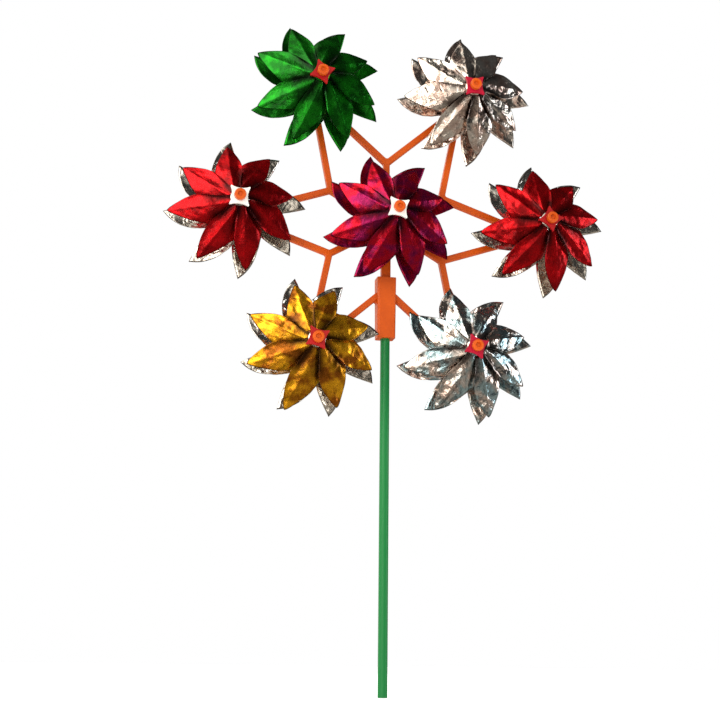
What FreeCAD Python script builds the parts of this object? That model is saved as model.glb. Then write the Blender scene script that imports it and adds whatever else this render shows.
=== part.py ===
import FreeCAD, Part
import math
import os

# A seven-headed pinwheel on a stick. Millimetres, +Z up along the stick.
# The origin is the middle of the stick's lower end, and the heads face -Y.
# Depths are measured forward from the frame's middle plane, so y = -depth.

# Frame: a flat moulded snowflake of six spokes and twelve arms
frame_centre_z = 300.0
hub_circle_r = 100.0
fork_circle_r = 43.0
spoke_angles = [30.0, 90.0, 150.0, 210.0, 270.0, 330.0]
stem_angle = 270.0
hub_step = 30.0  # from a spoke to the hub on either side of it
bar_width = 4.0
stem_width = 6.0
frame_thickness = 4.6
corner_fillet_r = 1.6
bar_edge_chamfer = 0.5
boss_r = 4.6
boss_front = 8.5

# Socket below the frame, which holds the stick
socket_width = 12.4
socket_depth = 11.0
socket_top_z = 264.0
socket_bottom_z = 224.0
socket_taper = 0.7
socket_edge_r = 1.4

# Gusset between the two lowest arms and the socket
web_reach = 12.0
web_height = 3.0
web_inset = 1.0
web_thickness = 3.2

# Stick: a plain plastic tube, pushed into the socket, which squeezes its top to spigot_r
stick_r = 3.0
spigot_r = 2.6
stick_wall = 1.0
stick_insertion = 30.0

# Pin of each head: a knob in front and a plain shaft, pressed into the boss
pin_r = 1.8
pin_tail = 0.8
pin_tail_chamfer = 0.3
knob_r = 3.6
knob_back = 39.7
knob_front = 43.5
knob_collar_r = 2.6
knob_collar_length = 0.8
knob_dimple_r = 1.4
knob_dimple_depth = 1.2
knob_dimple_flare = 0.4
knob_edge_r = 0.7

# Washer between the boss and the turning parts
washer_r = 4.4
washer_bore_r = 2.0
washer_front = 9.5

# Spacer tube: the bearing that the two foils and the star turn on
end_play = 0.3
tube_bore_r = 1.88
tube_r = 2.8
flange_r = 5.0
flange_thickness = 1.0
tube_front = 38.6

# Star clip, pushed over the front of the spacer tube
star_tip_r = 9.6
star_waist_r = 4.9
star_thickness = 1.6
star_sleeve_r = 4.0
star_front = 39.4
star_back = 36.6
star_tip_round_r = 0.5
star_front_wall = 0.2

# Foils: each is one sheet with four blades, folded into a rear leaf and a front leaf
foil_thickness = 0.3
foil_bore_r = 2.8
disc_r = 9.0
disc_thickness = 0.7
ring_r = 5.5
ring_depth = 24.4
blades_per_foil = 4
rear_foil_lag = 42.0

# A blade's surface is drawn between two edges. Each row gives a point of the inner edge and of
# the outer edge, as (distance along the slit, distance across it, height above the disc).
blade_rows = [
    ((7.0, 0.6, 0.0), (45.4, 0.6, 0.1)),
    ((8.4, 2.4, 0.1), (41.4, 4.6, 0.3)),
    ((9.4, 4.8, 0.8), (35.0, 9.2, 1.0)),
    ((9.8, 7.6, 2.8), (27.0, 12.0, 3.0)),
    ((9.4, 9.6, 6.8), (21.0, 14.0, 7.2)),
    ((8.4, 10.2, 12.0), (18.6, 14.8, 12.2)),
    ((7.0, 8.8, 17.2), (21.0, 13.8, 15.6)),
    ((5.8, 6.4, 20.8), (27.5, 11.6, 15.6)),
    ((5.2, 4.4, 22.8), (34.5, 8.2, 13.6)),
    ((5.7, 3.5, 23.8), (40.5, 4.0, 11.4)),
    ((4.8, 2.2, 24.3), (34.5, 0.0, 14.6)),
    ((4.6, 1.0, 24.4), (26.0, -2.4, 18.8)),
    ((4.2, 0.0, 24.4), (16.0, -2.6, 22.8)),
    ((3.6, -0.8, 24.4), (5.2, -1.4, 24.4)),
]

# Heads: name, angle of the hub on the circle (None in the middle), angle of the front foil's
# first slit and angle of the star
heads = [
    ("centre", None, 58.0, 38.0),
    ("top_left", 120.0, 64.0, 20.0),
    ("top_right", 60.0, 2.0, 48.0),
    ("right", 0.0, 46.0, 8.0),
    ("bottom_right", 300.0, 53.0, 25.0),
    ("bottom_left", 240.0, 14.0, 32.0),
    ("left", 180.0, 4.0, 42.0),
]


# Two lengths or places closer than this are the same
same = 0.01


def save(shape, node):
    """Write one closed solid as the STEP file of its node."""
    solids = shape.Solids
    valid = shape.isValid() and len(solids) == 1 and solids[0].isClosed()
    print(f"{node}: solids {len(solids)}, valid {valid}, volume {shape.Volume:.1f}")
    solids[0].exportStep(f"parts/{node}.step")


def hub_point(angle):
    """The point of the frame's middle plane where a head stands."""
    if angle is None:
        return FreeCAD.Vector(0, 0, frame_centre_z)
    return polar(hub_circle_r, angle)


def polar(radius, angle):
    """A point of the frame's middle plane at a radius and an angle from the frame's centre."""
    turn = math.radians(angle)
    return FreeCAD.Vector(radius * math.cos(turn), 0, frame_centre_z + radius * math.sin(turn))


def rod(radius, back, front):
    """A cylinder about the head's axis between two depths, with the head at the origin."""
    return Part.makeCylinder(radius, front - back, FreeCAD.Vector(0, -back, 0), FreeCAD.Vector(0, -1, 0))


def bar_face(start, end, width):
    """A flat strip with round ends between two points of the frame's middle plane."""
    along = (end - start).normalize()
    side = FreeCAD.Vector(-along.z, 0, along.x) * (width / 2)
    cap_start = start - along * (width / 2)
    cap_end = end + along * (width / 2)
    edges = [
        Part.makeLine(start + side, end + side),
        Part.Arc(end + side, cap_end, end - side).toShape(),
        Part.makeLine(end - side, start - side),
        Part.Arc(start - side, cap_start, start + side).toShape(),
    ]
    return Part.Face(Part.Wire(edges))


def snowflake_face():
    """The frame's outline: spokes to the forks, and two arms from each fork to its hubs."""
    centre = hub_point(None)
    strips = []
    for angle in spoke_angles:
        width = stem_width if angle == stem_angle else bar_width
        fork = polar(fork_circle_r, angle)
        strips.append(bar_face(centre, fork, width))
        for side in (-hub_step, hub_step):
            strips.append(bar_face(fork, polar(hub_circle_r, angle + side), bar_width))
    return strips[0].fuse(strips[1:]).removeSplitter()


def plate():
    """The snowflake given its thickness, with rounded inside corners and eased edges."""
    face = snowflake_face()
    face.translate(FreeCAD.Vector(0, frame_thickness / 2, 0))
    solid = face.extrude(FreeCAD.Vector(0, -frame_thickness, 0)).removeSplitter()
    corners = [edge for edge in solid.Edges if inside_corner(solid, edge)]
    solid = solid.makeFillet(corner_fillet_r, corners)
    rims = [edge for edge in solid.Edges if on_a_face_rim(edge)]
    return solid.makeChamfer(bar_edge_chamfer, rims)


def inside_corner(solid, edge):
    """True for an edge across the plate's thickness where two bars make an open notch."""
    start, end = edge.Vertexes[0].Point, edge.Vertexes[-1].Point
    middle = (start + end) * 0.5
    under_socket = abs(middle.x) < socket_width / 2 and middle.z < socket_top_z
    if under_socket or abs(abs(start.y - end.y) - frame_thickness) > same:
        return False
    probe_r = 0.4
    steps = 24
    notch_share = 0.6
    inside = 0
    for step in range(steps):
        turn = 2 * math.pi * step / steps
        point = middle + FreeCAD.Vector(probe_r * math.cos(turn), 0, probe_r * math.sin(turn))
        inside += solid.isInside(point, 0.001, False)
    return inside > notch_share * steps


def on_a_face_rim(edge):
    """True for an edge that lies in the plate's front or back face."""
    limits = edge.BoundBox
    flat = limits.YLength < same
    return flat and abs(abs(limits.YMin) - frame_thickness / 2) < same


def socket():
    """The block under the lowest fork, tapered a little towards its lower end."""
    sections = []
    for z, trim in ((socket_bottom_z, socket_taper), (socket_top_z, 0.0)):
        half_x = (socket_width - trim) / 2
        half_y = (socket_depth - trim) / 2
        corners = [(-half_x, -half_y), (half_x, -half_y), (half_x, half_y), (-half_x, half_y)]
        points = [FreeCAD.Vector(x, y, z) for x, y in corners]
        sections.append(Part.makePolygon(points + points[:1]))
    block = Part.makeLoft(sections, True, True)
    edges = [edge for edge in block.Edges if edge.BoundBox.ZLength > 1.0]
    return block.makeFillet(socket_edge_r, edges)


def web():
    """The flat gusset that ties the two lowest arms to the socket."""
    fork = polar(fork_circle_r, stem_angle)
    left = fork + (polar(hub_circle_r, stem_angle - hub_step) - fork).normalize() * web_reach
    right = fork + (polar(hub_circle_r, stem_angle + hub_step) - fork).normalize() * web_reach
    half = socket_width / 2 - web_inset
    low_z = left.z - web_height
    points = [
        fork + FreeCAD.Vector(0, 0, web_height),
        right,
        FreeCAD.Vector(half, 0, low_z),
        FreeCAD.Vector(-half, 0, low_z),
        left,
    ]
    face = Part.Face(Part.makePolygon(points + points[:1]))
    face.translate(FreeCAD.Vector(0, web_thickness / 2, 0))
    return face.extrude(FreeCAD.Vector(0, -web_thickness, 0))


def frame():
    """The whole moulding, bored for the seven pins and for the stick."""
    body = plate().fuse([socket(), web()])
    for _, angle, _, _ in heads:
        boss = rod(boss_r, 0.0, boss_front)
        rim = [edge for edge in boss.Edges if edge.BoundBox.YMax < same - boss_front]
        boss = boss.makeChamfer(bar_edge_chamfer, rim)
        boss.translate(hub_point(angle))
        body = body.fuse(boss)
    for _, angle, _, _ in heads:
        bore = rod(pin_r, -frame_thickness, boss_front)
        bore.translate(hub_point(angle))
        body = body.cut(bore)
    bore_top = socket_bottom_z + stick_insertion
    stick_bore = Part.makeCylinder(spigot_r, bore_top)
    return body.cut(stick_bore).removeSplitter()


def stick():
    """The tube, open at both ends."""
    length = socket_bottom_z + stick_insertion
    outside = Part.makeCylinder(stick_r, socket_bottom_z).fuse(Part.makeCylinder(spigot_r, length))
    return outside.cut(Part.makeCylinder(stick_r - stick_wall, length)).removeSplitter()


def pin():
    """The knob and its shaft, turned about the head's axis, with a dimple in the knob's front."""
    tail = -(frame_thickness / 2 + pin_tail)
    collar_front = knob_back + knob_collar_length
    outline = [
        (0.0, tail),
        (pin_r - pin_tail_chamfer, tail),
        (pin_r, tail + pin_tail_chamfer),
        (pin_r, knob_back),
        (knob_collar_r, knob_back),
        (knob_collar_r, collar_front),
        (knob_r, collar_front),
        (knob_r, knob_front - knob_edge_r),
        (knob_r - knob_edge_r, knob_front),
        (knob_dimple_r + knob_dimple_flare, knob_front),
        (knob_dimple_r, knob_front - knob_dimple_depth),
        (0.0, knob_front - knob_dimple_depth),
    ]
    points = [FreeCAD.Vector(radius, -depth, 0) for radius, depth in outline]
    profile = Part.Face(Part.makePolygon(points + points[:1]))
    return profile.revolve(FreeCAD.Vector(0, 0, 0), FreeCAD.Vector(0, 1, 0), 360.0)


def back_washer():
    return rod(washer_r, boss_front, washer_front).cut(rod(washer_bore_r, boss_front, washer_front))


def spacer_tube():
    """The bearing tube with the flange that carries the foils."""
    back = washer_front + end_play
    body = rod(flange_r, back, back + flange_thickness).fuse(rod(tube_r, back, tube_front))
    return body.cut(rod(tube_bore_r, back, tube_front)).removeSplitter()


def star_clip():
    """A four-pointed star with hollow sides and a short sleeve on its back."""
    tips = []
    waists = []
    for step in range(4):
        tips.append(star_point(star_tip_r, 90.0 * step))
        waists.append(star_point(star_waist_r, 90.0 * step + 45.0))
    sides = [Part.Arc(tips[i], waists[i], tips[(i + 1) % 4]).toShape() for i in range(4)]
    face = Part.Face(Part.Wire(sides))
    body = face.extrude(FreeCAD.Vector(0, star_thickness, 0))
    points = [edge for edge in body.Edges if abs(edge.BoundBox.YLength - star_thickness) < same]
    body = body.makeFillet(star_tip_round_r, points)
    body = body.fuse(rod(star_sleeve_r, star_back, star_front - star_front_wall))
    body = body.cut(rod(tube_r, star_back, tube_front))
    return body.cut(rod(tube_bore_r, star_back, star_front)).removeSplitter()


def star_point(radius, angle):
    turn = math.radians(angle)
    return FreeCAD.Vector(radius * math.cos(turn), -star_front, radius * math.sin(turn))


def blade():
    """One blade: a flat rear leaf, a roll beside the hub, a front leaf and the folded-in corner."""
    sections = []
    count = len(blade_rows)
    for i, (inner, outer) in enumerate(blade_rows):
        inner = FreeCAD.Vector(*inner)
        outer = FreeCAD.Vector(*outer)
        before = row_middle(max(i - 1, 0))
        after = row_middle(min(i + 1, count - 1))
        normal = (after - before).cross(outer - inner).normalize() * (foil_thickness / 2)
        points = [inner - normal, outer - normal, outer + normal, inner + normal]
        sections.append(Part.makePolygon(points + points[:1]))
    return Part.makeLoft(sections, True, True)


def row_middle(index):
    inner, outer = blade_rows[index]
    return (FreeCAD.Vector(*inner) + FreeCAD.Vector(*outer)) * 0.5


def foil():
    """Four blades joined by the disc behind and by the ring of folded corners in front."""
    half = disc_thickness / 2
    up = FreeCAD.Vector(0, 0, 1)
    disc = Part.makeCylinder(disc_r, disc_thickness, FreeCAD.Vector(0, 0, -half), up)
    ring = Part.makeCylinder(ring_r, disc_thickness, FreeCAD.Vector(0, 0, ring_depth - half), up)
    blades = []
    for i in range(blades_per_foil):
        leaf = blade()
        leaf.rotate(FreeCAD.Vector(0, 0, 0), up, 360.0 / blades_per_foil * i)
        blades.append(leaf)
    bore = Part.makeCylinder(foil_bore_r, 2 * ring_depth, FreeCAD.Vector(0, 0, -ring_depth / 2), up)
    body = disc.fuse([ring] + blades).cut(bore)
    body.rotate(FreeCAD.Vector(0, 0, 0), FreeCAD.Vector(1, 0, 0), 90.0)
    return body


def placed(shape, angle, depth, turn):
    """A copy turned about the head's axis, moved forward by a depth and set on its hub."""
    copy = shape.copy()
    copy.rotate(FreeCAD.Vector(0, 0, 0), FreeCAD.Vector(0, 1, 0), -turn)
    copy.translate(hub_point(angle) + FreeCAD.Vector(0, -depth, 0))
    return copy


def main():
    os.makedirs("parts", exist_ok=True)
    save(frame(), "frame")
    save(stick(), "stick")
    foil_shape = foil()
    rear_depth = washer_front + end_play + flange_thickness + disc_thickness / 2
    front_depth = rear_depth + disc_thickness
    for name, angle, foil_turn, star_turn in heads:
        save(placed(pin(), angle, 0.0, 0.0), f"{name}_pin")
        save(placed(back_washer(), angle, 0.0, 0.0), f"{name}_back_washer")
        save(placed(spacer_tube(), angle, 0.0, 0.0), f"{name}_spacer_tube")
        save(placed(foil_shape, angle, rear_depth, foil_turn - rear_foil_lag), f"{name}_rear_foil")
        save(placed(foil_shape, angle, front_depth, foil_turn), f"{name}_front_foil")
        save(placed(star_clip(), angle, 0.0, star_turn), f"{name}_star_clip")


main()
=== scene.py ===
import math
import random

import bmesh
import bpy
import numpy as np
from mathutils import Matrix, Vector, noise


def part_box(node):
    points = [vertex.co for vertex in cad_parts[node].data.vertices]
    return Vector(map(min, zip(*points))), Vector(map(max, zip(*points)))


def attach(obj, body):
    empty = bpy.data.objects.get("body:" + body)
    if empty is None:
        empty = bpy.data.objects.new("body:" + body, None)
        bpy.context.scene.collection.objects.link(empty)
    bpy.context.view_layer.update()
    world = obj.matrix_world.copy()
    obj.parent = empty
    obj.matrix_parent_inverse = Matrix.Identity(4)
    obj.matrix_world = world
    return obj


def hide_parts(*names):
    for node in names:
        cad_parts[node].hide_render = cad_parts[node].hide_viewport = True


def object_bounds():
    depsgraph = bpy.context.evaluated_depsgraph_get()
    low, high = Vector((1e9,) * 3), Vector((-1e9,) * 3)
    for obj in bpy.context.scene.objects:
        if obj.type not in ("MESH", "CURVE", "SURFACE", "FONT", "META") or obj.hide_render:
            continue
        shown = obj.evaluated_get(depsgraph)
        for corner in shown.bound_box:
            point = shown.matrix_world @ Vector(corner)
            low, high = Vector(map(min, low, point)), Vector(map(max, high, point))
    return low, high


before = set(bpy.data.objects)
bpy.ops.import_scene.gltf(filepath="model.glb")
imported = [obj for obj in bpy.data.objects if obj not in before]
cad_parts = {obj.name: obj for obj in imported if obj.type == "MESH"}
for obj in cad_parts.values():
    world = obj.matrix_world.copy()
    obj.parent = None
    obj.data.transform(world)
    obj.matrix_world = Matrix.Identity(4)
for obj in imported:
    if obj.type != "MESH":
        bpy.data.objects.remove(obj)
cad_low, cad_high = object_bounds()

MM = 0.001

# ---------------------------------------------------------------- the seven heads
# Each head: angle of the front foil's first slit in degrees, the colours of the foils' front and
# back faces, the star's plastic, and how crumpled the foils are in millimetres.
HEADS = {
    "centre": (58.0, "magenta", "magenta", "white", 0.16),
    "top_left": (64.0, "green", "green", "red", 0.14),
    "top_right": (2.0, "blush", "blush", "crimson", 0.30),
    "right": (46.0, "pearl", "red", "red", 0.22),
    "bottom_right": (53.0, "silver", "silver", "crimson", 0.36),
    "bottom_left": (14.0, "pearl", "gold", "red", 0.30),
    "left": (4.0, "pearl", "red", "white", 0.20),
}
REAR_FOIL_LAG = 42.0
BLADES = 4
REAR_SEED = 100
FRONT_SEED = 200

# ---------------------------------------------------------------- one blade (millimetres)
# The sheet between its inner and its outer edge, as distance along the slit, distance across it
# and height above the disc. It is the CAD blade with a fuller leaf.
BLADE_ROWS = [
    ((7.0, 0.6, 0.0), (45.3, 0.6, 0.1)),
    ((8.4, 2.4, 0.1), (41.6, 5.4, 0.3)),
    ((9.4, 4.8, 0.8), (35.6, 10.0, 1.0)),
    ((9.8, 7.6, 2.8), (28.4, 13.0, 3.0)),
    ((9.4, 9.6, 6.8), (21.4, 14.8, 7.2)),
    ((8.4, 10.2, 12.0), (18.8, 15.4, 12.2)),
    ((7.0, 8.8, 17.2), (20.6, 14.4, 15.6)),
    ((5.8, 6.4, 20.8), (28.0, 12.6, 15.6)),
    ((5.2, 4.4, 22.8), (35.0, 9.4, 13.6)),
    ((5.7, 3.5, 23.8), (40.9, 4.6, 11.4)),
    ((4.8, 2.2, 24.3), (34.8, -1.0, 14.8)),
    ((4.6, 1.0, 24.4), (27.5, -3.4, 18.4)),
    ((4.2, 0.0, 24.4), (15.5, -2.8, 22.6)),
    ((3.6, -0.8, 24.4), (5.2, -1.4, 24.4)),
]
STEPS_ALONG = 72  # points along the fold, from the slit to the corner at the hub
STEPS_ACROSS = 30  # points from the inner to the outer edge
FOIL_THICKNESS = 0.16
DISC_R = 9.0
RING_R = 5.5
BORE_R = 2.8
WASHER_THICKNESS = 0.5
DISC_MIDDLE = 0.35  # in front of the back of the CAD foil

# Spans along the fold are parts of its whole length.
FRONT_LEAF = range(6, 13)  # its rows in BLADE_ROWS
LEAF_MIDDLE = 4.6  # the line across which its width is measured
LEAF_REACH = 0.92
REACH_SWING = 0.12
SHORTEST_AT = 45.0  # degrees
REACH_SPREAD = 0.03
LEAF_WIDTHS = (0.94, 1.08)
DEEPEST_NOTCH = 0.6
TIP_POINT = 2.6
TIP_SPAN = 0.10
TIP_SHARPNESS = 1.6
RIB = 0.9
RIB_SPAN = 0.14
SLIT_BULGE = 3.4
SLIT_BULGE_SPAN = 0.12
DROOP = 1.7
DROOP_SPAN = 0.35
DROOP_RUN = 36.0  # from the disc's edge to the rear leaf's tip
LEAN = 0.5
PUFF = 0.9

# The sheet is flat as far as CRUMPLE_START from the axis, and fully crumpled CRUMPLE_RUN further.
CRUMPLE_START = 8.0
CRUMPLE_RUN = 14.0
# Each layer of crumples: how fine it is, and its share.
SOFT = (0.075, 2.2)
RIDGE = (0.16, 0.9)
FINE = (0.34, 1.1)

# Painted shade: a dark band along the cut edge, in place of its dark reflection, and painted
# shade in the folds beside the hub
EDGE_WIDTH = 1.1
EDGE_PAINTED_SHADE = 0.75
FOLD_REACH = (19.0, 27.0)
FOLD_FADE = 8.0
FOLD_PAINTED_SHADE = 0.95
RIB_UNSHADED_SPAN = 0.16

# ---------------------------------------------------------------- colours (linear)
FOIL_TINTS = {
    # magenta: the crimson is its own colour; the darker violet patches are painted reflections
    "magenta": ((0.44, 0.001, 0.013), (0.21, 0.002, 0.050)),
    "green": ((0.006, 0.205, 0.006), (0.002, 0.085, 0.003)),
    # silver: its blue-grey and pink patches are painted reflections of coloured surroundings
    "silver": ((0.42, 0.58, 0.62), (1.0, 0.80, 0.69)),
    "blush": ((1.0, 0.92, 0.83), (0.88, 0.64, 0.54)),
    "pearl": ((0.95, 0.89, 0.80), (0.70, 0.64, 0.56)),
    "red": ((0.52, 0.002, 0.005), (0.28, 0.001, 0.003)),
    "gold": ((0.84, 0.38, 0.010), (0.34, 0.095, 0.004)),
}
# How metallic, the range of roughness and the strength of the fine crinkles
MIRROR_FILM = (1.0, (0.10, 0.24), 0.65)
TINTED_FILM = (0.88, (0.20, 0.34), 0.35)
MIRRORS = ("silver", "blush", "pearl")
SHADE_LAYER = "shade"
SHADE_DEPTH = 0.10  # the painted shade's colour, as a share of the second tint

PLASTIC_TINTS = {
    "orange": ((0.62, 0.090, 0.004), (0.52, 0.070, 0.003)),
    "green": ((0.014, 0.215, 0.052), (0.009, 0.165, 0.036)),
    "red": ((0.42, 0.010, 0.010), (0.34, 0.006, 0.007)),
    "crimson": ((0.46, 0.006, 0.030), (0.38, 0.004, 0.022)),
    "white": ((0.90, 0.86, 0.80), (0.84, 0.80, 0.74)),
}
EVEN = (1.0, 1.0, 1.0)
DRAWN_ALONG_Z = (1.0, 1.0, 0.02)  # the stick is extruded, so its marks run along it
MOULDED_ROUGHNESS = (0.30, 0.42)
EXTRUDED_ROUGHNESS = (0.26, 0.40)

# ---------------------------------------------------------------- camera, light and floor
SENSOR_WIDTH = 36.0
LENS = 68.9
CAMERA_PLACE = (-0.180, -0.843, 0.021)
CAMERA_TARGET = (-0.0162, 0.0, 0.2094)
CAMERA_ROLL = 0.64  # degrees

LIGHTS_TARGET = (0.0, 0.0, 0.28)
# Each light: place, size, power in watts and colour
LIGHTS = {
    "key": ((-1.0, -1.0, 0.9), (1.1, 1.1), 14.0, (1.0, 0.96, 0.90)),
    "side": ((1.5, -0.5, 0.5), (0.35, 1.0), 5.0, (0.92, 0.96, 1.0)),
    "low": ((-0.6, -1.3, 0.0), (0.9, 0.25), 3.0, (1.0, 0.95, 0.88)),
    "back": ((0.4, 1.4, 1.2), (1.0, 1.0), 8.0, (1.0, 1.0, 1.0)),
}
WHITE = (1.0, 1.0, 1.0)
SOFT_LIGHT = (1.0, 0.99, 0.97)
SOFT_LIGHT_STRENGTH = 0.75
STUDIO_BRIGHT_SIDE = (-0.95, 0.0, -0.30)
STUDIO_DARK = (0.03, 0.03, 0.03)
STUDIO_BRIGHT = (1.08, 1.02, 0.92)
STUDIO_STREAKS = 1.3

FLOOR_R = 6.0
FLOOR_GAP = 0.0002
FLOOR_TINTS = ((0.93, 0.93, 0.93), (0.95, 0.95, 0.95))
FLOOR_GLOW = 0.45
FLOOR_REFLECTED = ((0.02, 0.02, 0.02), (0.46, 0.42, 0.37))


# ---------------------------------------------------------------- materials
def new_material(name):
    """A material with nothing but its shader."""
    material = bpy.data.materials.new(name)
    material.use_nodes = True
    nodes = material.node_tree.nodes
    nodes.clear()
    output = nodes.new("ShaderNodeOutputMaterial")
    shader = nodes.new("ShaderNodeBsdfPrincipled")
    material.node_tree.links.new(shader.outputs["BSDF"], output.inputs["Surface"])
    return material, material.node_tree, shader


def noise_node(tree, scale, detail, stretch=EVEN, distortion=0.0):
    """A noise texture on the object's own coordinates, which are metres."""
    coordinates = tree.nodes.new("ShaderNodeTexCoord")
    mapping = tree.nodes.new("ShaderNodeMapping")
    mapping.inputs["Scale"].default_value = stretch
    texture = tree.nodes.new("ShaderNodeTexNoise")
    texture.inputs["Scale"].default_value = scale
    texture.inputs["Detail"].default_value = detail
    texture.inputs["Distortion"].default_value = distortion
    tree.links.new(coordinates.outputs["Object"], mapping.inputs["Vector"])
    tree.links.new(mapping.outputs["Vector"], texture.inputs["Vector"])
    return texture


def ramp(tree, source, low, high, first, last):
    """Colours from first to last as the source goes from low to high."""
    node = tree.nodes.new("ShaderNodeValToRGB")
    node.color_ramp.elements[0].position = low
    node.color_ramp.elements[0].color = (*first, 1.0)
    node.color_ramp.elements[1].position = high
    node.color_ramp.elements[1].color = (*last, 1.0)
    tree.links.new(source, node.inputs["Fac"])
    return node.outputs["Color"]


def spread(tree, source, low, high, start=0.3, end=0.7):
    """The source's range from start to end, stretched to low..high."""
    node = tree.nodes.new("ShaderNodeMapRange")
    node.inputs["From Min"].default_value = start
    node.inputs["From Max"].default_value = end
    node.inputs["To Min"].default_value = low
    node.inputs["To Max"].default_value = high
    tree.links.new(source, node.inputs["Value"])
    return node.outputs["Result"]


def bump(tree, shader, layers):
    """Bumps in a chain; each layer is a height output, a strength and a depth in metres."""
    before = None
    for height, strength, depth in layers:
        node = tree.nodes.new("ShaderNodeBump")
        node.inputs["Strength"].default_value = strength
        node.inputs["Distance"].default_value = depth
        tree.links.new(height, node.inputs["Height"])
        if before:
            tree.links.new(before.outputs["Normal"], node.inputs["Normal"])
        before = node
    tree.links.new(before.outputs["Normal"], shader.inputs["Normal"])


def towards(tree, colour, other, attribute):
    """The colour turned towards another one where the mesh's attribute says so."""
    amount = tree.nodes.new("ShaderNodeAttribute")
    amount.attribute_name = attribute
    mix = tree.nodes.new("ShaderNodeMixRGB")
    mix.inputs["Color2"].default_value = (*other, 1.0)
    tree.links.new(amount.outputs["Fac"], mix.inputs["Fac"])
    tree.links.new(colour, mix.inputs["Color1"])
    return mix.outputs["Color"]


def foil_material(name, tints, metallic, roughness, crinkled):
    """Metallised film: a tinted sheen over fine crinkles and faint rub marks, darkened by painted
    shade where the mesh's shade layer says so.
    """
    material, tree, shader = new_material(name)
    patches = noise_node(tree, 110.0, 3.0)
    crinkle = noise_node(tree, 170.0, 4.0, distortion=0.8)
    rub = noise_node(tree, 900.0, 3.0, stretch=(1.0, 1.0, 0.25))
    # the two tints in noise patches; for the silver and magenta foils the patches are painted
    # reflections
    colour = ramp(tree, patches.outputs["Fac"], 0.43, 0.60, *tints)
    # painted shade: the colour darkens where the shade layer is set, along the cut edge and in
    # the folds beside the hub
    dark = tuple(SHADE_DEPTH * value for value in tints[1])
    colour = towards(tree, colour, dark, SHADE_LAYER)
    tree.links.new(colour, shader.inputs["Base Color"])
    tree.links.new(spread(tree, rub.outputs["Fac"], *roughness), shader.inputs["Roughness"])
    shader.inputs["Metallic"].default_value = metallic
    shader.inputs["Coat Weight"].default_value = 0.06
    shader.inputs["Coat Roughness"].default_value = 0.10
    bump(tree, shader, [
        (crinkle.outputs["Fac"], crinkled, 0.0012),
        (rub.outputs["Fac"], 0.05, 0.0002),
    ])
    return material


def plastic_material(name, tints, roughness, stretch):
    """Moulded or extruded plastic: slight colour drift, satin gloss and a fine skin."""
    material, tree, shader = new_material(name)
    drift = noise_node(tree, 45.0, 3.0, stretch)
    skin = noise_node(tree, 1500.0, 4.0, stretch)
    colour = ramp(tree, drift.outputs["Fac"], 0.35, 0.65, *tints)
    tree.links.new(colour, shader.inputs["Base Color"])
    tree.links.new(spread(tree, skin.outputs["Fac"], *roughness), shader.inputs["Roughness"])
    shader.inputs["Specular IOR Level"].default_value = 0.28
    bump(tree, shader, [
        (drift.outputs["Fac"], 0.12, 0.0012),
        (skin.outputs["Fac"], 0.06, 0.00015),
    ])
    return material


def make_materials():
    """Every film and plastic by name; the stick alone is green plastic."""
    made = {}
    for key, tints in FOIL_TINTS.items():
        name = f"foil_{key}"
        film = MIRROR_FILM if key in MIRRORS else TINTED_FILM
        made[name] = foil_material(name, tints, *film)
    for key, tints in PLASTIC_TINTS.items():
        name = f"plastic_{key}"
        finish = (MOULDED_ROUGHNESS, EVEN)
        if key == "green":
            finish = (EXTRUDED_ROUGHNESS, DRAWN_ALONG_Z)
        made[name] = plastic_material(name, tints, *finish)
    return made


MATERIALS = make_materials()


# ---------------------------------------------------------------- foils
def clamp(value):
    return min(max(value, 0.0), 1.0)


def smooth_rows(rows, count):
    """The rows drawn through with a smooth curve, sampled at count even steps."""
    points = np.array(rows, dtype=float)
    gaps = np.linalg.norm(np.diff(points.mean(axis=1), axis=0), axis=1)
    knots = np.concatenate([[0.0], np.cumsum(gaps)])
    slopes = np.gradient(points, knots, axis=0)
    out = []
    for value in np.linspace(0.0, knots[-1], count):
        k = min(int(np.searchsorted(knots, value, side="right")) - 1, len(knots) - 2)
        width = knots[k + 1] - knots[k]
        x = (value - knots[k]) / width
        a = (1 + 2 * x) * (1 - x) ** 2
        b = x * (1 - x) ** 2 * width
        c = x * x * (3 - 2 * x)
        d = x * x * (x - 1) * width
        out.append(a * points[k] + b * slopes[k] + c * points[k + 1] + d * slopes[k + 1])
    return np.array(out)


def leaf_rows(direction, rng):
    """The blade's rows with its own front leaf: each one's reach and width differ a little."""
    swing = REACH_SWING * math.cos(math.radians(direction - SHORTEST_AT))
    reach = LEAF_REACH - swing + rng.uniform(-REACH_SPREAD, REACH_SPREAD)
    width = rng.uniform(*LEAF_WIDTHS)
    rows = np.array(BLADE_ROWS, dtype=float)
    for k in FRONT_LEAF:
        rows[k, 1, 0] *= reach
        rows[k, 1, 1] = LEAF_MIDDLE + (rows[k, 1, 1] - LEAF_MIDDLE) * width
    # some leaves are notched beside the hub, so that the fold behind them shows
    last = FRONT_LEAF[-1]
    rows[last, 1] += (rows[last, 0] - rows[last, 1]) * rng.uniform(0.0, DEEPEST_NOTCH)
    return rows


def crumples(spot, seed):
    """Height of the crumples at a point of the sheet, in parts of the head's own amount."""
    soft = noise.noise(spot * SOFT[0] + seed)
    ridge = 1.0 - 2.0 * abs(noise.noise(spot * RIDGE[0] + seed * 1.7))
    fine = noise.noise(spot * FINE[0] + seed * 2.3)
    return SOFT[1] * soft + RIDGE[1] * ridge + FINE[1] * fine


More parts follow.
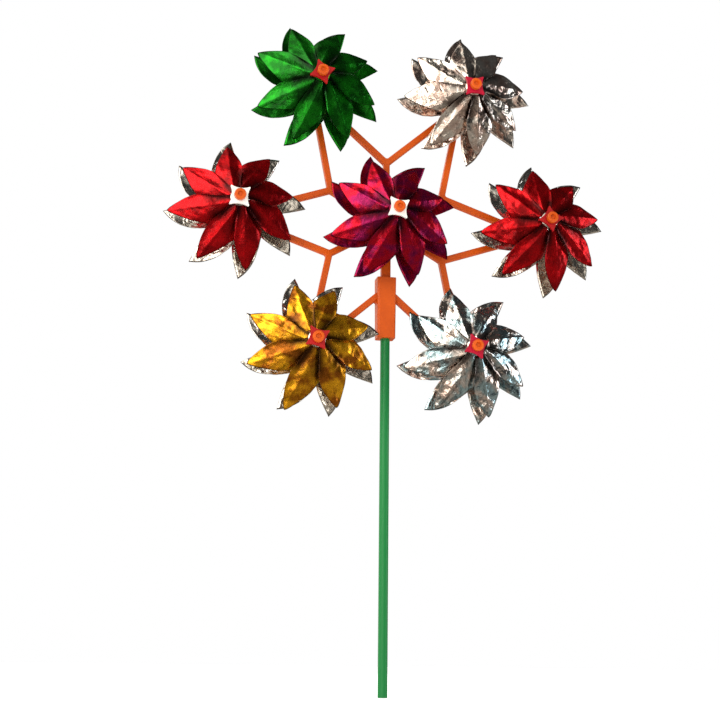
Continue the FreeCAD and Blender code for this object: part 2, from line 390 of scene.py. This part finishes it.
def blade_sheet(crumple, direction, rng):
    """One blade as a grid of points with its own irregularities, and the painted shade of each
    point.
    """
    rows = smooth_rows(leaf_rows(direction, rng), STEPS_ALONG)
    s = np.linspace(0.0, 1.0, STEPS_ACROSS)
    t = np.linspace(0.0, 1.0, STEPS_ALONG)
    # the front leaf's rounded end is drawn out to a point; it lies in the fold's second half
    tip = int(np.argmax(np.where(t > 0.4, rows[:, 1, 0], 0.0)))
    from_tip = np.abs(t - t[tip])
    rows[:, 1, 0] += TIP_POINT * np.clip(1 - from_tip / TIP_SPAN, 0, 1) ** TIP_SHARPNESS
    inner, outer = rows[:, None, 0, :], rows[:, None, 1, :]
    grid = inner * (1 - s)[None, :, None] + outer * s[None, :, None]
    # the slit side bows out a little, so that the leaf is full on both sides of its tip
    fade = np.clip(1 - t / SLIT_BULGE_SPAN, 0, 1) ** 2
    grid[:, :, 1] -= SLIT_BULGE * fade[:, None] * np.sin(np.pi * s ** 0.9)[None, :]
    normals = grid_normals(grid)
    seed = Vector((rng.uniform(0, 90), rng.uniform(0, 90), rng.uniform(0, 90)))
    lean = rng.uniform(-LEAN, LEAN)
    # how far from the axis the painted shade in the folds reaches
    fold_r = rng.uniform(*FOLD_REACH)
    shade = np.zeros((STEPS_ALONG, STEPS_ACROSS))
    for i in range(STEPS_ALONG):
        width = np.linalg.norm(rows[i, 1] - rows[i, 0])
        for j in range(STEPS_ACROSS):
            x, y, z = grid[i, j]
            radius = math.hypot(x, y)
            loose = clamp((radius - CRUMPLE_START) / CRUMPLE_RUN)
            puff = PUFF * math.sin(math.pi * s[j]) * math.sin(math.pi * min(t[i] * 1.2, 1.0))
            shift = loose * crumple * crumples(Vector((x, y, z)), seed) - puff
            grid[i, j] += normals[i, j] * shift
            grid[i, j, 2] += loose * lean * s[j] * (1 - t[i])
            # the rear leaf bends back a little towards its tip
            outward = clamp((radius - DISC_R) / DROOP_RUN)
            grid[i, j, 2] -= DROOP * outward ** 2 * max(0.0, 1.0 - t[i] / DROOP_SPAN)
            # the front leaf is creased along the line to its tip
            grid[i, j, 2] += RIB * loose * max(0.0, 1.0 - from_tip[i] / RIB_SPAN)
            # painted shade along the cut edge, in place of the curled edge's dark reflection
            edge = clamp(1.0 - (1 - s[j]) * width / EDGE_WIDTH)
            # painted shade in the folds beside the hub, where shade falls; it is kept off the rib
            fold = clamp((fold_r - radius) / FOLD_FADE) * min(from_tip[i] / RIB_UNSHADED_SPAN, 1.0)
            shade[i, j] = max(EDGE_PAINTED_SHADE * edge, FOLD_PAINTED_SHADE * fold)
    return grid, shade


def grid_normals(grid):
    """Unit normals of a grid; at the slit they point forward, into the curl."""
    along = np.gradient(grid, axis=0)
    across = np.gradient(grid, axis=1)
    normals = np.cross(across, along)
    lengths = np.linalg.norm(normals, axis=2, keepdims=True)
    return normals / np.maximum(lengths, 1e-9)


def add_sheet(mesh, grid, shade):
    """A closed thin shell about a grid: material 0 on its inner face, material 1 elsewhere."""
    # each point carries its painted shade in the shade layer
    dark = mesh.verts.layers.float[SHADE_LAYER]
    half = grid_normals(grid) * (FOIL_THICKNESS / 2)
    rows, columns, _ = grid.shape
    sides = []
    for points in (grid + half, grid - half):
        side = [[mesh.verts.new(point) for point in row] for row in points]
        for i in range(rows):
            for j in range(columns):
                side[i][j][dark] = shade[i, j]
        sides.append(side)
    inner, outer = sides
    for i in range(rows - 1):
        for j in range(columns - 1):
            corners = ((i, j), (i, j + 1), (i + 1, j + 1), (i + 1, j))
            mesh.faces.new([inner[a][b] for a, b in corners]).material_index = 0
            turned = (corners[0], corners[3], corners[2], corners[1])
            mesh.faces.new([outer[a][b] for a, b in turned]).material_index = 1
    rim = [(i, 0) for i in range(rows)]
    rim += [(rows - 1, j) for j in range(1, columns)]
    rim += [(i, columns - 1) for i in range(rows - 2, -1, -1)]
    rim += [(0, j) for j in range(columns - 2, 0, -1)]
    for (a, b), (c, d) in zip(rim, rim[1:] + rim[:1]):
        face = mesh.faces.new((inner[a][b], inner[c][d], outer[c][d], outer[a][b]))
        face.material_index = 1


def add_washer(mesh, outer_r, middle, steps=64):
    """A flat ring round the bore with its front and its back in the sheet's two colours."""
    rings = []
    for height in (middle - WASHER_THICKNESS / 2, middle + WASHER_THICKNESS / 2):
        for radius in (BORE_R, outer_r):
            turn = [2 * math.pi * k / steps for k in range(steps)]
            points = [(radius * math.cos(a), radius * math.sin(a), height) for a in turn]
            rings.append([mesh.verts.new(point) for point in points])
    back_in, back_out, front_in, front_out = rings
    for k in range(steps):
        n = (k + 1) % steps
        for corners, slot in (
            ((front_in[k], front_out[k], front_out[n], front_in[n]), 0),
            ((back_in[k], back_in[n], back_out[n], back_out[k]), 1),
            ((back_out[k], back_out[n], front_out[n], front_out[k]), 1),
            ((back_in[k], front_in[k], front_in[n], back_in[n]), 1),
        ):
            mesh.faces.new(corners).material_index = slot


def head_centre(head):
    """The head's axis, from the middle of its back washer."""
    low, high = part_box(f"{head}_back_washer")
    return (low + high) / 2


def make_foil(head, which, turn, inner, outer, crumple, seed):
    """One foil of a head, in the place of its CAD node."""
    node = f"{head}_{which}_foil"
    rng = random.Random(seed)
    mesh = bmesh.new()
    # the layer that holds the painted shade
    mesh.verts.layers.float.new(SHADE_LAYER)
    ring_depth = BLADE_ROWS[-1][0][2]
    add_washer(mesh, DISC_R, 0.0)
    add_washer(mesh, RING_R, ring_depth)
    for blade in range(BLADES):
        start = len(mesh.verts)
        angle = 360.0 / BLADES * blade
        add_sheet(mesh, *blade_sheet(crumple, turn + angle, rng))
        mesh.verts.ensure_lookup_table()
        about = Matrix.Rotation(math.radians(angle + rng.uniform(-1.0, 1.0)), 3, "Z")
        bmesh.ops.rotate(mesh, cent=(0, 0, 0), matrix=about, verts=mesh.verts[start:])
    data = bpy.data.meshes.new(node)
    mesh.to_mesh(data)
    mesh.free()
    # from the sheet's own axes to the head's: its height becomes -Y
    hub = head_centre(head)
    _, node_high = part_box(node)
    place = (
        Matrix.Translation((hub.x, node_high.y - DISC_MIDDLE * MM, hub.z))
        @ Matrix.Rotation(math.radians(-turn), 4, "Y")
        @ Matrix.Rotation(math.radians(90), 4, "X")
        @ Matrix.Scale(MM, 4)
    )
    data.transform(place)
    data.materials.append(MATERIALS[f"foil_{inner}"])
    data.materials.append(MATERIALS[f"foil_{outer}"])
    data.shade_smooth()
    piece = bpy.data.objects.new(f"{node}_film", data)
    bpy.context.scene.collection.objects.link(piece)
    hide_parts(node)
    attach(piece, f"{head}_flower")


def make_foils():
    for number, (head, (turn, inner, outer, _, crumple)) in enumerate(HEADS.items()):
        rear_turn = turn - REAR_FOIL_LAG
        make_foil(head, "rear", rear_turn, inner, outer, crumple, REAR_SEED + number)
        make_foil(head, "front", turn, inner, outer, crumple, FRONT_SEED + number)


# ---------------------------------------------------------------- CAD pieces keep their shape
def paint(node, key):
    """Gives a CAD node one of the materials."""
    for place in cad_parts[node].material_slots:
        place.material = MATERIALS[key]


def paint_cad():
    paint("frame", "plastic_orange")
    paint("stick", "plastic_green")
    for head, (_, _, _, star, _) in HEADS.items():
        paint(f"{head}_pin", "plastic_orange")
        paint(f"{head}_spacer_tube", "plastic_orange")
        paint(f"{head}_back_washer", "plastic_white")
        paint(f"{head}_star_clip", f"plastic_{star}")


# ---------------------------------------------------------------- camera, light and floor
def aim(thing, target, roll=0.0):
    """Turns an object's -Z towards a point, then rolls it about its own view."""
    direction = (Vector(target) - thing.location).normalized()
    turn = direction.to_track_quat("-Z", "Y").to_matrix()
    thing.rotation_euler = (turn @ Matrix.Rotation(math.radians(roll), 3, "Z")).to_euler()


def make_camera():
    data = bpy.data.cameras.new("camera")
    data.sensor_width = SENSOR_WIDTH
    data.lens = LENS
    data.clip_start = 0.01
    data.clip_end = 50.0
    camera = bpy.data.objects.new("camera", data)
    camera.location = CAMERA_PLACE
    aim(camera, CAMERA_TARGET, roll=CAMERA_ROLL)
    bpy.context.scene.collection.objects.link(camera)
    bpy.context.scene.camera = camera


def make_lights():
    """Soft rectangular lights, all aimed at the heads."""
    for name, (location, size, power, colour) in LIGHTS.items():
        data = bpy.data.lights.new(name, "AREA")
        data.shape = "RECTANGLE"
        data.size, data.size_y = size
        data.energy = power
        data.color = colour
        light = bpy.data.objects.new(name, data)
        light.location = location
        aim(light, LIGHTS_TARGET)
        bpy.context.scene.collection.objects.link(light)


def background(tree, colour, strength):
    node = tree.nodes.new("ShaderNodeBackground")
    node.inputs["Color"].default_value = (*colour, 1.0)
    node.inputs["Strength"].default_value = strength
    return node.outputs["Background"]


def by_ray(tree, kind, others, these):
    """The shader 'these' for rays of one kind, and 'others' for the rest."""
    path = tree.nodes.new("ShaderNodeLightPath")
    mix = tree.nodes.new("ShaderNodeMixShader")
    tree.links.new(path.outputs[kind], mix.inputs["Fac"])
    tree.links.new(others, mix.inputs[1])
    tree.links.new(these, mix.inputs[2])
    return mix.outputs["Shader"]


def studio_colour(tree):
    """What the foils reflect: streaky, bright low on the left, dark above and on the right."""
    coordinates = tree.nodes.new("ShaderNodeTexCoord")
    side = tree.nodes.new("ShaderNodeVectorMath")
    side.operation = "DOT_PRODUCT"
    side.inputs[1].default_value = STUDIO_BRIGHT_SIDE
    tree.links.new(coordinates.outputs["Generated"], side.inputs[0])
    streaks = tree.nodes.new("ShaderNodeTexNoise")
    streaks.inputs["Scale"].default_value = 3.2
    streaks.inputs["Detail"].default_value = 2.0
    tree.links.new(coordinates.outputs["Generated"], streaks.inputs["Vector"])
    blend = tree.nodes.new("ShaderNodeMath")
    blend.operation = "MULTIPLY_ADD"
    blend.inputs[1].default_value = STUDIO_STREAKS
    tree.links.new(streaks.outputs["Fac"], blend.inputs[0])
    tree.links.new(side.outputs["Value"], blend.inputs[2])
    level = spread(tree, blend.outputs["Value"], 0.0, 1.0, start=0.40, end=0.66)
    return ramp(tree, level, 0.0, 1.0, STUDIO_DARK, STUDIO_BRIGHT)


def make_world():
    """A white room for the eye, soft light for the surfaces and a streaky studio to reflect."""
    world = bpy.data.worlds.new("world")
    world.use_nodes = True
    tree = world.node_tree
    tree.nodes.clear()
    output = tree.nodes.new("ShaderNodeOutputWorld")
    white = background(tree, WHITE, 1.0)
    soft = background(tree, SOFT_LIGHT, SOFT_LIGHT_STRENGTH)
    studio = background(tree, WHITE, 1.0)
    tree.links.new(studio_colour(tree), studio.node.inputs["Color"])
    seen = by_ray(tree, "Is Camera Ray", soft, white)
    tree.links.new(by_ray(tree, "Is Glossy Ray", seen, studio), output.inputs["Surface"])
    bpy.context.scene.world = world


def dim_reflection(tree, shader):
    """The floor is white to the eye and mottled grey in the foils' reflections."""
    output = next(node for node in tree.nodes if node.type == "OUTPUT_MATERIAL")
    dim = tree.nodes.new("ShaderNodeBsdfDiffuse")
    mottle = noise_node(tree, 7.0, 2.0, distortion=0.5)
    greys = ramp(tree, mottle.outputs["Fac"], 0.42, 0.60, *FLOOR_REFLECTED)
    tree.links.new(greys, dim.inputs["Color"])
    surface = by_ray(tree, "Is Glossy Ray", shader.outputs["BSDF"], dim.outputs["BSDF"])
    tree.links.new(surface, output.inputs["Surface"])


def make_floor():
    """A round pale floor under the stick's end."""
    mesh = bmesh.new()
    bmesh.ops.create_circle(mesh, cap_ends=True, segments=96, radius=FLOOR_R)
    data = bpy.data.meshes.new("floor")
    mesh.to_mesh(data)
    mesh.free()
    material, tree, shader = new_material("floor")
    grain = noise_node(tree, 30.0, 2.0)
    colour = ramp(tree, grain.outputs["Fac"], 0.3, 0.7, *FLOOR_TINTS)
    tree.links.new(colour, shader.inputs["Base Color"])
    shader.inputs["Roughness"].default_value = 0.9
    shader.inputs["Emission Color"].default_value = (*WHITE, 1.0)
    shader.inputs["Emission Strength"].default_value = FLOOR_GLOW
    dim_reflection(tree, shader)
    data.materials.append(material)
    floor = bpy.data.objects.new("floor", data)
    floor.location.z = cad_low.z - FLOOR_GAP
    bpy.context.scene.collection.objects.link(floor)


bpy.context.scene.view_settings.view_transform = "Standard"
make_camera()
make_foils()
paint_cad()
make_lights()
make_world()
make_floor()
